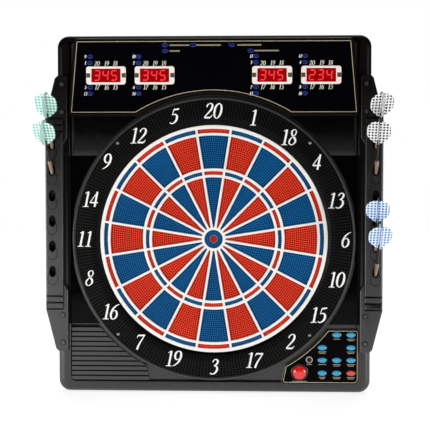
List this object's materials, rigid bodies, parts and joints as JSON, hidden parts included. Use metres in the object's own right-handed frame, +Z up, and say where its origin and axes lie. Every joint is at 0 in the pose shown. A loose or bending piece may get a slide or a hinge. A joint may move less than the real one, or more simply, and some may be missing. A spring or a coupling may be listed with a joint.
{
  "type": "electronic dartboard",
  "caption": "Wall-hung electronic dartboard with sprung segments, number ring, red digit displays, key panel, side racks and soft-tip darts.",
  "frame": {"origin": "where the bull's axis meets the wall face, on the back cover's back", "axes": "+Z up, +X to the viewer's right, +Y into the wall; the target faces -Y"},
  "size_m": [0.6066, 0.1213, 0.6175],
  "materials": {
    "black_abs": "satin moulded",
    "rear_abs": "matte moulded",
    "gloss_overlay": "polished film",
    "ring_abs": "fine dimpled",
    "spider_white": "satin",
    "rack_abs": "textured",
    "bezel_white": "gloss",
    "filter_red": "tinted clear",
    "module_grey": "satin",
    "led_blue": "diffused lens",
    "film": "printed polyester",
    "fibreboard": "pressed board",
    "circuit_board": "solder mask",
    "speaker_steel": "satin",
    "screw_steel": "blackened",
    "segment_blue": "moulded, drilled",
    "segment_red": "moulded, drilled",
    "key_blue": "gloss",
    "key_red": "gloss",
    "start_red": "gloss dome",
    "reset_metal": "polished",
    "dart_mint": "dotted flight, brass barrel",
    "dart_white": "dotted flight, brass barrel",
    "dart_blue": "dotted flight, brass barrel"
  },
  "bodies": {
    "housing": {"front_housing": "black_abs", "rear_cover": "rear_abs", "header_panel": "gloss_overlay", "control_panel": "gloss_overlay", "speaker_grille": "black_abs", "catch_ring": "ring_abs", "spider": "spider_white", "rack_left": "rack_abs", "rack_right": "rack_abs", "display_bezels": "bezel_white", "display_filters": "filter_red", "display_modules": "module_grey", "indicator_leds": "led_blue", "matrix_sheet": "film", "backing_board": "fibreboard", "main_board": "circuit_board", "speaker": "speaker_steel", "power_inlet": "black_abs", "ring_screws": "screw_steel", "body_screws": "screw_steel"},
    "segments_20": {"segments_20": "segment_blue"},
    "segments_01": {"segments_01": "segment_red"},
    "segments_18": {"segments_18": "segment_blue"},
    "segments_04": {"segments_04": "segment_red"},
    "segments_13": {"segments_13": "segment_blue"},
    "segments_06": {"segments_06": "segment_red"},
    "segments_10": {"segments_10": "segment_blue"},
    "segments_15": {"segments_15": "segment_red"},
    "segments_02": {"segments_02": "segment_blue"},
    "segments_17": {"segments_17": "segment_red"},
    "segments_03": {"segments_03": "segment_blue"},
    "segments_19": {"segments_19": "segment_red"},
    "segments_07": {"segments_07": "segment_blue"},
    "segments_16": {"segments_16": "segment_red"},
    "segments_08": {"segments_08": "segment_blue"},
    "segments_11": {"segments_11": "segment_red"},
    "segments_14": {"segments_14": "segment_blue"},
    "segments_09": {"segments_09": "segment_red"},
    "segments_12": {"segments_12": "segment_blue"},
    "segments_05": {"segments_05": "segment_red"},
    "outer_bull": {"outer_bull": "segment_blue"},
    "inner_bull": {"inner_bull": "segment_red"},
    "key_1b": {"key_1b": "key_blue"},
    "key_1c": {"key_1c": "key_blue"},
    "key_2a": {"key_2a": "key_blue"},
    "key_2c": {"key_2c": "key_blue"},
    "key_3a": {"key_3a": "key_blue"},
    "key_3b": {"key_3b": "key_blue"},
    "key_3c": {"key_3c": "key_blue"},
    "key_4a": {"key_4a": "key_blue"},
    "key_4b": {"key_4b": "key_blue"},
    "key_4c": {"key_4c": "key_red"},
    "start_button": {"start_button": "start_red"},
    "reset_button": {"reset_button": "reset_metal"},
    "dart_left_1": {"dart_left_1": "dart_mint"},
    "dart_left_2": {"dart_left_2": "dart_mint"},
    "dart_right_1": {"dart_right_1": "dart_white"},
    "dart_right_2": {"dart_right_2": "dart_white"},
    "dart_right_5": {"dart_right_5": "dart_blue"},
    "dart_right_6": {"dart_right_6": "dart_blue"}
  },
  "joints": [
    {"name": "segments_20_press", "type": "slide", "parent": "housing", "child": "segments_20", "axis": [0, 1, 0], "range_m": [0, 0.0012], "stiffness_N_per_m": 900, "springref_m": -0.0015},
    {"name": "segments_01_press", "type": "slide", "parent": "housing", "child": "segments_01", "axis": [0, 1, 0], "range_m": [0, 0.0012], "stiffness_N_per_m": 900, "springref_m": -0.0015},
    {"name": "segments_18_press", "type": "slide", "parent": "housing", "child": "segments_18", "axis": [0, 1, 0], "range_m": [0, 0.0012], "stiffness_N_per_m": 900, "springref_m": -0.0015},
    {"name": "segments_04_press", "type": "slide", "parent": "housing", "child": "segments_04", "axis": [0, 1, 0], "range_m": [0, 0.0012], "stiffness_N_per_m": 900, "springref_m": -0.0015},
    {"name": "segments_13_press", "type": "slide", "parent": "housing", "child": "segments_13", "axis": [0, 1, 0], "range_m": [0, 0.0012], "stiffness_N_per_m": 900, "springref_m": -0.0015},
    {"name": "segments_06_press", "type": "slide", "parent": "housing", "child": "segments_06", "axis": [0, 1, 0], "range_m": [0, 0.0012], "stiffness_N_per_m": 900, "springref_m": -0.0015},
    {"name": "segments_10_press", "type": "slide", "parent": "housing", "child": "segments_10", "axis": [0, 1, 0], "range_m": [0, 0.0012], "stiffness_N_per_m": 900, "springref_m": -0.0015},
    {"name": "segments_15_press", "type": "slide", "parent": "housing", "child": "segments_15", "axis": [0, 1, 0], "range_m": [0, 0.0012], "stiffness_N_per_m": 900, "springref_m": -0.0015},
    {"name": "segments_02_press", "type": "slide", "parent": "housing", "child": "segments_02", "axis": [0, 1, 0], "range_m": [0, 0.0012], "stiffness_N_per_m": 900, "springref_m": -0.0015},
    {"name": "segments_17_press", "type": "slide", "parent": "housing", "child": "segments_17", "axis": [0, 1, 0], "range_m": [0, 0.0012], "stiffness_N_per_m": 900, "springref_m": -0.0015},
    {"name": "segments_03_press", "type": "slide", "parent": "housing", "child": "segments_03", "axis": [0, 1, 0], "range_m": [0, 0.0012], "stiffness_N_per_m": 900, "springref_m": -0.0015},
    {"name": "segments_19_press", "type": "slide", "parent": "housing", "child": "segments_19", "axis": [0, 1, 0], "range_m": [0, 0.0012], "stiffness_N_per_m": 900, "springref_m": -0.0015},
    {"name": "segments_07_press", "type": "slide", "parent": "housing", "child": "segments_07", "axis": [0, 1, 0], "range_m": [0, 0.0012], "stiffness_N_per_m": 900, "springref_m": -0.0015},
    {"name": "segments_16_press", "type": "slide", "parent": "housing", "child": "segments_16", "axis": [0, 1, 0], "range_m": [0, 0.0012], "stiffness_N_per_m": 900, "springref_m": -0.0015},
    {"name": "segments_08_press", "type": "slide", "parent": "housing", "child": "segments_08", "axis": [0, 1, 0], "range_m": [0, 0.0012], "stiffness_N_per_m": 900, "springref_m": -0.0015},
    {"name": "segments_11_press", "type": "slide", "parent": "housing", "child": "segments_11", "axis": [0, 1, 0], "range_m": [0, 0.0012], "stiffness_N_per_m": 900, "springref_m": -0.0015},
    {"name": "segments_14_press", "type": "slide", "parent": "housing", "child": "segments_14", "axis": [0, 1, 0], "range_m": [0, 0.0012], "stiffness_N_per_m": 900, "springref_m": -0.0015},
    {"name": "segments_09_press", "type": "slide", "parent": "housing", "child": "segments_09", "axis": [0, 1, 0], "range_m": [0, 0.0012], "stiffness_N_per_m": 900, "springref_m": -0.0015},
    {"name": "segments_12_press", "type": "slide", "parent": "housing", "child": "segments_12", "axis": [0, 1, 0], "range_m": [0, 0.0012], "stiffness_N_per_m": 900, "springref_m": -0.0015},
    {"name": "segments_05_press", "type": "slide", "parent": "housing", "child": "segments_05", "axis": [0, 1, 0], "range_m": [0, 0.0012], "stiffness_N_per_m": 900, "springref_m": -0.0015},
    {"name": "outer_bull_press", "type": "slide", "parent": "housing", "child": "outer_bull", "axis": [0, 1, 0], "range_m": [0, 0.0012], "stiffness_N_per_m": 900, "springref_m": -0.0015},
    {"name": "inner_bull_press", "type": "slide", "parent": "housing", "child": "inner_bull", "axis": [0, 1, 0], "range_m": [0, 0.0012], "stiffness_N_per_m": 900, "springref_m": -0.0015},
    {"name": "key_1b_press", "type": "slide", "parent": "housing", "child": "key_1b", "axis": [0, 1, 0], "range_m": [0, 0.0015], "stiffness_N_per_m": 350, "springref_m": -0.0015},
    {"name": "key_1c_press", "type": "slide", "parent": "housing", "child": "key_1c", "axis": [0, 1, 0], "range_m": [0, 0.0015], "stiffness_N_per_m": 350, "springref_m": -0.0015},
    {"name": "key_2a_press", "type": "slide", "parent": "housing", "child": "key_2a", "axis": [0, 1, 0], "range_m": [0, 0.0015], "stiffness_N_per_m": 350, "springref_m": -0.0015},
    {"name": "key_2c_press", "type": "slide", "parent": "housing", "child": "key_2c", "axis": [0, 1, 0], "range_m": [0, 0.0015], "stiffness_N_per_m": 350, "springref_m": -0.0015},
    {"name": "key_3a_press", "type": "slide", "parent": "housing", "child": "key_3a", "axis": [0, 1, 0], "range_m": [0, 0.0015], "stiffness_N_per_m": 350, "springref_m": -0.0015},
    {"name": "key_3b_press", "type": "slide", "parent": "housing", "child": "key_3b", "axis": [0, 1, 0], "range_m": [0, 0.0015], "stiffness_N_per_m": 350, "springref_m": -0.0015},
    {"name": "key_3c_press", "type": "slide", "parent": "housing", "child": "key_3c", "axis": [0, 1, 0], "range_m": [0, 0.0015], "stiffness_N_per_m": 350, "springref_m": -0.0015},
    {"name": "key_4a_press", "type": "slide", "parent": "housing", "child": "key_4a", "axis": [0, 1, 0], "range_m": [0, 0.0015], "stiffness_N_per_m": 350, "springref_m": -0.0015},
    {"name": "key_4b_press", "type": "slide", "parent": "housing", "child": "key_4b", "axis": [0, 1, 0], "range_m": [0, 0.0015], "stiffness_N_per_m": 350, "springref_m": -0.0015},
    {"name": "key_4c_press", "type": "slide", "parent": "housing", "child": "key_4c", "axis": [0, 1, 0], "range_m": [0, 0.0015], "stiffness_N_per_m": 350, "springref_m": -0.0015},
    {"name": "start_button_press", "type": "slide", "parent": "housing", "child": "start_button", "axis": [0, 1, 0], "range_m": [0, 0.0015], "stiffness_N_per_m": 350, "springref_m": -0.0015},
    {"name": "reset_button_press", "type": "slide", "parent": "housing", "child": "reset_button", "axis": [0, 1, 0], "range_m": [0, 0.0015], "stiffness_N_per_m": 350, "springref_m": -0.0015},
    {"name": "dart_left_1_pull", "type": "slide", "parent": "housing", "child": "dart_left_1", "axis": [-0.0293, -0.5446, 0.8382], "range_m": [0, 0.03]},
    {"name": "dart_left_2_pull", "type": "slide", "parent": "housing", "child": "dart_left_2", "axis": [-0.0564, -0.5878, 0.807], "range_m": [0, 0.03]},
    {"name": "dart_right_1_pull", "type": "slide", "parent": "housing", "child": "dart_right_1", "axis": [0.0585, -0.5446, 0.8366], "range_m": [0, 0.03]},
    {"name": "dart_right_2_pull", "type": "slide", "parent": "housing", "child": "dart_right_2", "axis": [0, -0.5878, 0.809], "range_m": [0, 0.03]},
    {"name": "dart_right_5_pull", "type": "slide", "parent": "housing", "child": "dart_right_5", "axis": [-0.0141, -0.5878, 0.8089], "range_m": [0, 0.03]},
    {"name": "dart_right_6_pull", "type": "slide", "parent": "housing", "child": "dart_right_6", "axis": [0.0353, -0.5878, 0.8082], "range_m": [0, 0.03]}
  ]
}
